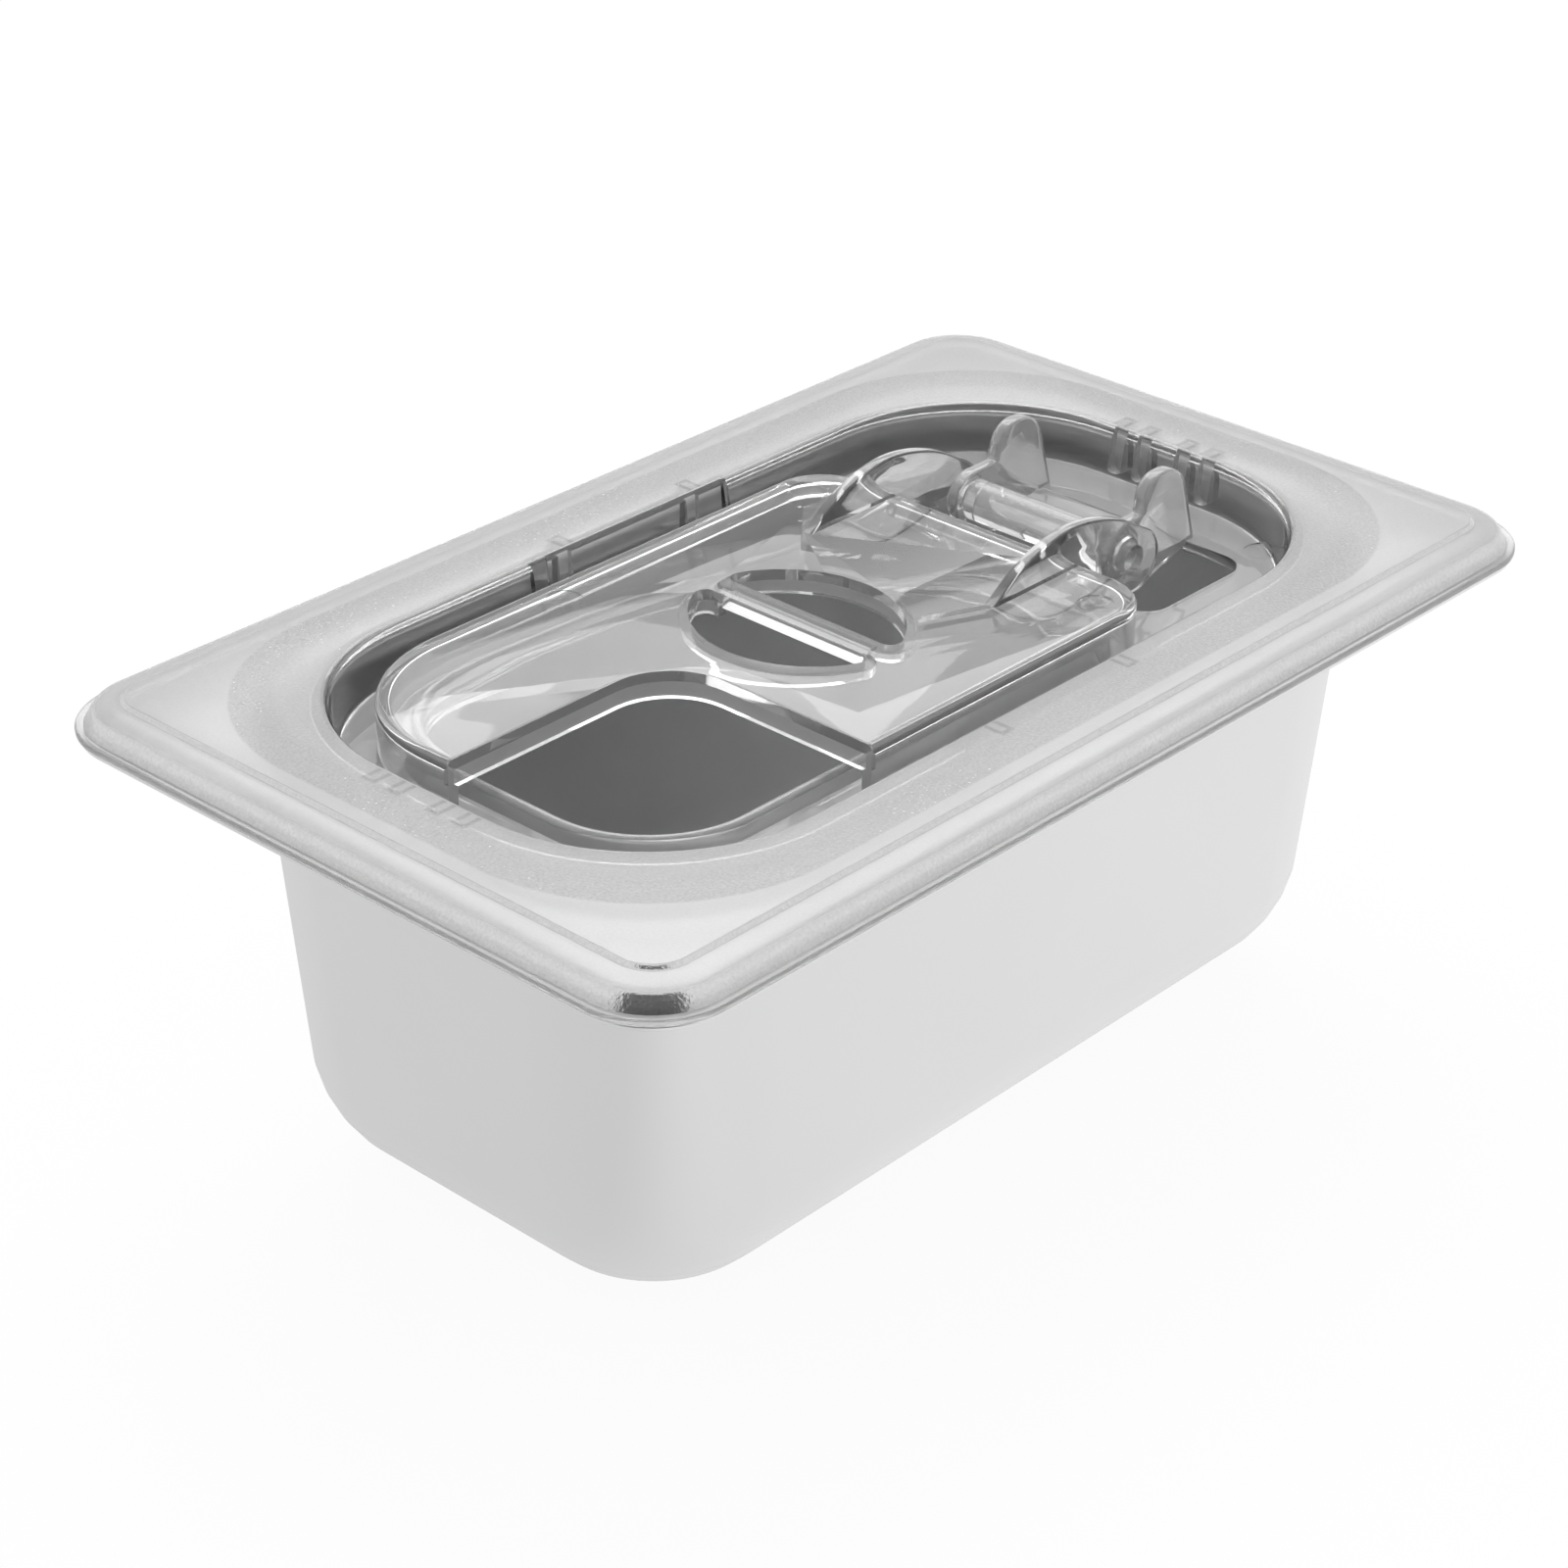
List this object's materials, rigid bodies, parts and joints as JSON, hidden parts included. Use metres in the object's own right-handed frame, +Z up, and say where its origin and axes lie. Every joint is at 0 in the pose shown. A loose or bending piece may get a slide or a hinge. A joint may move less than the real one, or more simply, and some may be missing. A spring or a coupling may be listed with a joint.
{
  "type": "hotel pan",
  "caption": "Small steel food pan with a flanged rim and a clear lid that lifts off; a hinged flap in the lid has finger openings and a corner notch for a spoon handle.",
  "frame": {"origin": "middle of the pan's flat bottom", "axes": "+X along the length towards the lid's hinge, +Y across the pan away from the notch, +Z up"},
  "size_m": [0.177, 0.109, 0.0746],
  "materials": {
    "steel": "satin",
    "clear_base": "clear with a frosted flange",
    "clear_flap": "clear gloss"
  },
  "bodies": {
    "pan": {"pan": "steel"},
    "lid": {"lid_base": "clear_base"},
    "flap": {"lid_flap": "clear_flap"}
  },
  "joints": [
    {"name": "lid_lift", "type": "slide", "parent": "pan", "child": "lid", "axis": [0, 0, 1], "range_m": [0, 0.06]},
    {"name": "flap_hinge", "type": "hinge", "parent": "lid", "child": "flap", "pos_m": [0.0441, 0, 0.0645], "axis": [0, 1, 0], "range_deg": [0, 115]}
  ]
}
